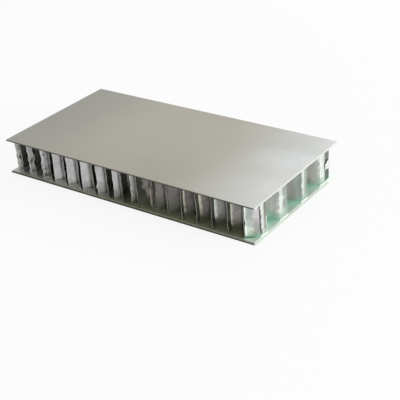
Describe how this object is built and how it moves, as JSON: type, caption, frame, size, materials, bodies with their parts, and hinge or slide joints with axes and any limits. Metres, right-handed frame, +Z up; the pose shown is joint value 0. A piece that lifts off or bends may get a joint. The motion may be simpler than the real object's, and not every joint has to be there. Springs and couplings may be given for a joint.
{
  "type": "aluminium honeycomb panel",
  "caption": "Flat aluminium sandwich panel sample: two plain face sheets bonded to an expanded foil honeycomb core, open at all four cut edges.",
  "frame": {"origin": "centre of the underside of the bottom face sheet", "axes": "+X along the long side, +Y along the short side towards the back, +Z up through the thickness"},
  "size_m": [0.2, 0.1, 0.025],
  "materials": {
    "face_sheet": "plain mill-finished sheet, satin",
    "core_foil": "bright rolled foil",
    "adhesive_film": "cured green adhesive film"
  },
  "bodies": {
    "root": {"bottom_face_sheet": "face_sheet", "top_face_sheet": "face_sheet", "bottom_adhesive_film": "adhesive_film", "top_adhesive_film": "adhesive_film", "foil_ribbon_01": "core_foil", "foil_ribbon_02": "core_foil", "foil_ribbon_03": "core_foil", "foil_ribbon_04": "core_foil", "foil_ribbon_05": "core_foil", "foil_ribbon_06": "core_foil", "foil_ribbon_07": "core_foil", "foil_ribbon_08": "core_foil", "foil_ribbon_09": "core_foil", "foil_ribbon_10": "core_foil", "foil_ribbon_11": "core_foil", "foil_ribbon_12": "core_foil", "foil_ribbon_13": "core_foil", "foil_ribbon_14": "core_foil", "foil_ribbon_15": "core_foil", "foil_ribbon_16": "core_foil", "foil_ribbon_17": "core_foil", "foil_ribbon_18": "core_foil", "foil_ribbon_19": "core_foil", "foil_ribbon_20": "core_foil", "foil_ribbon_21": "core_foil", "foil_ribbon_22": "core_foil", "foil_ribbon_23": "core_foil", "foil_ribbon_24": "core_foil", "foil_ribbon_25": "core_foil", "foil_ribbon_26": "core_foil", "foil_ribbon_27": "core_foil", "foil_ribbon_28": "core_foil", "foil_ribbon_29": "core_foil", "foil_ribbon_30": "core_foil", "foil_ribbon_31": "core_foil", "foil_ribbon_32": "core_foil", "foil_ribbon_33": "core_foil"}
  },
  "joints": []
}
